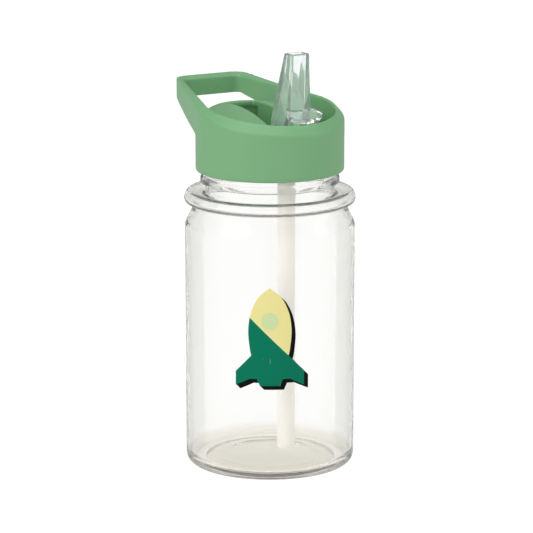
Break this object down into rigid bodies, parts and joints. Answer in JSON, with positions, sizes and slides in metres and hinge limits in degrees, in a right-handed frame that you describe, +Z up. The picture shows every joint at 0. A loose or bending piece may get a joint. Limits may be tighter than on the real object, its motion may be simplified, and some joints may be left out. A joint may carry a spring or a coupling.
{
  "type": "kids water bottle",
  "caption": "Clear round drinking bottle with a printed motif, a green screw lid with a rigid carry loop, a fold-down clear spout and a straw.",
  "frame": {"origin": "on the standing surface, under the middle of the object's outline; the bottle's own axis stands 9.45 mm in front of it, at y = -0.00945", "axes": "+Z up along the bottle's axis; +Y towards the carry loop, -Y towards the spout and thumb tab; +X to the right seen from the front"},
  "size_m": [0.0726, 0.0914, 0.1795],
  "materials": {
    "clear_bottle": "clear, polished",
    "print_ink": "printed film, pale yellow, green and black",
    "green_lid": "sage green, satin moulded",
    "clear_spout": "clear, polished",
    "silicone": "white translucent, matt",
    "milky_straw": "milky translucent"
  },
  "bodies": {
    "bottle": {"bottle": "clear_bottle", "printed_motif": "print_ink"},
    "lid_gasket": {"lid_gasket": "silicone"},
    "lid": {"lid_body": "green_lid", "spout_seal": "silicone", "straw": "milky_straw", "air_valve": "silicone"},
    "spout": {"spout": "clear_spout"}
  },
  "joints": [
    {"name": "lid_lift", "type": "slide", "parent": "bottle", "child": "lid_gasket", "axis": [0, 0, 1], "range_m": [0, 0.01201]},
    {"name": "lid_turn", "type": "hinge", "parent": "lid_gasket", "child": "lid", "pos_m": [0, -0.00945, 0.139], "axis": [0, 0, 1], "range_deg": [0, 1080]},
    {"name": "spout_flip", "type": "hinge", "parent": "lid", "child": "spout", "pos_m": [0, -0.02325, 0.1426], "axis": [-1, 0, 0], "range_deg": [0, 95]}
  ],
  "couplings": [
    {"joint": "lid_lift", "follows": "lid_turn", "m_per_rad": 0.00063662}
  ]
}
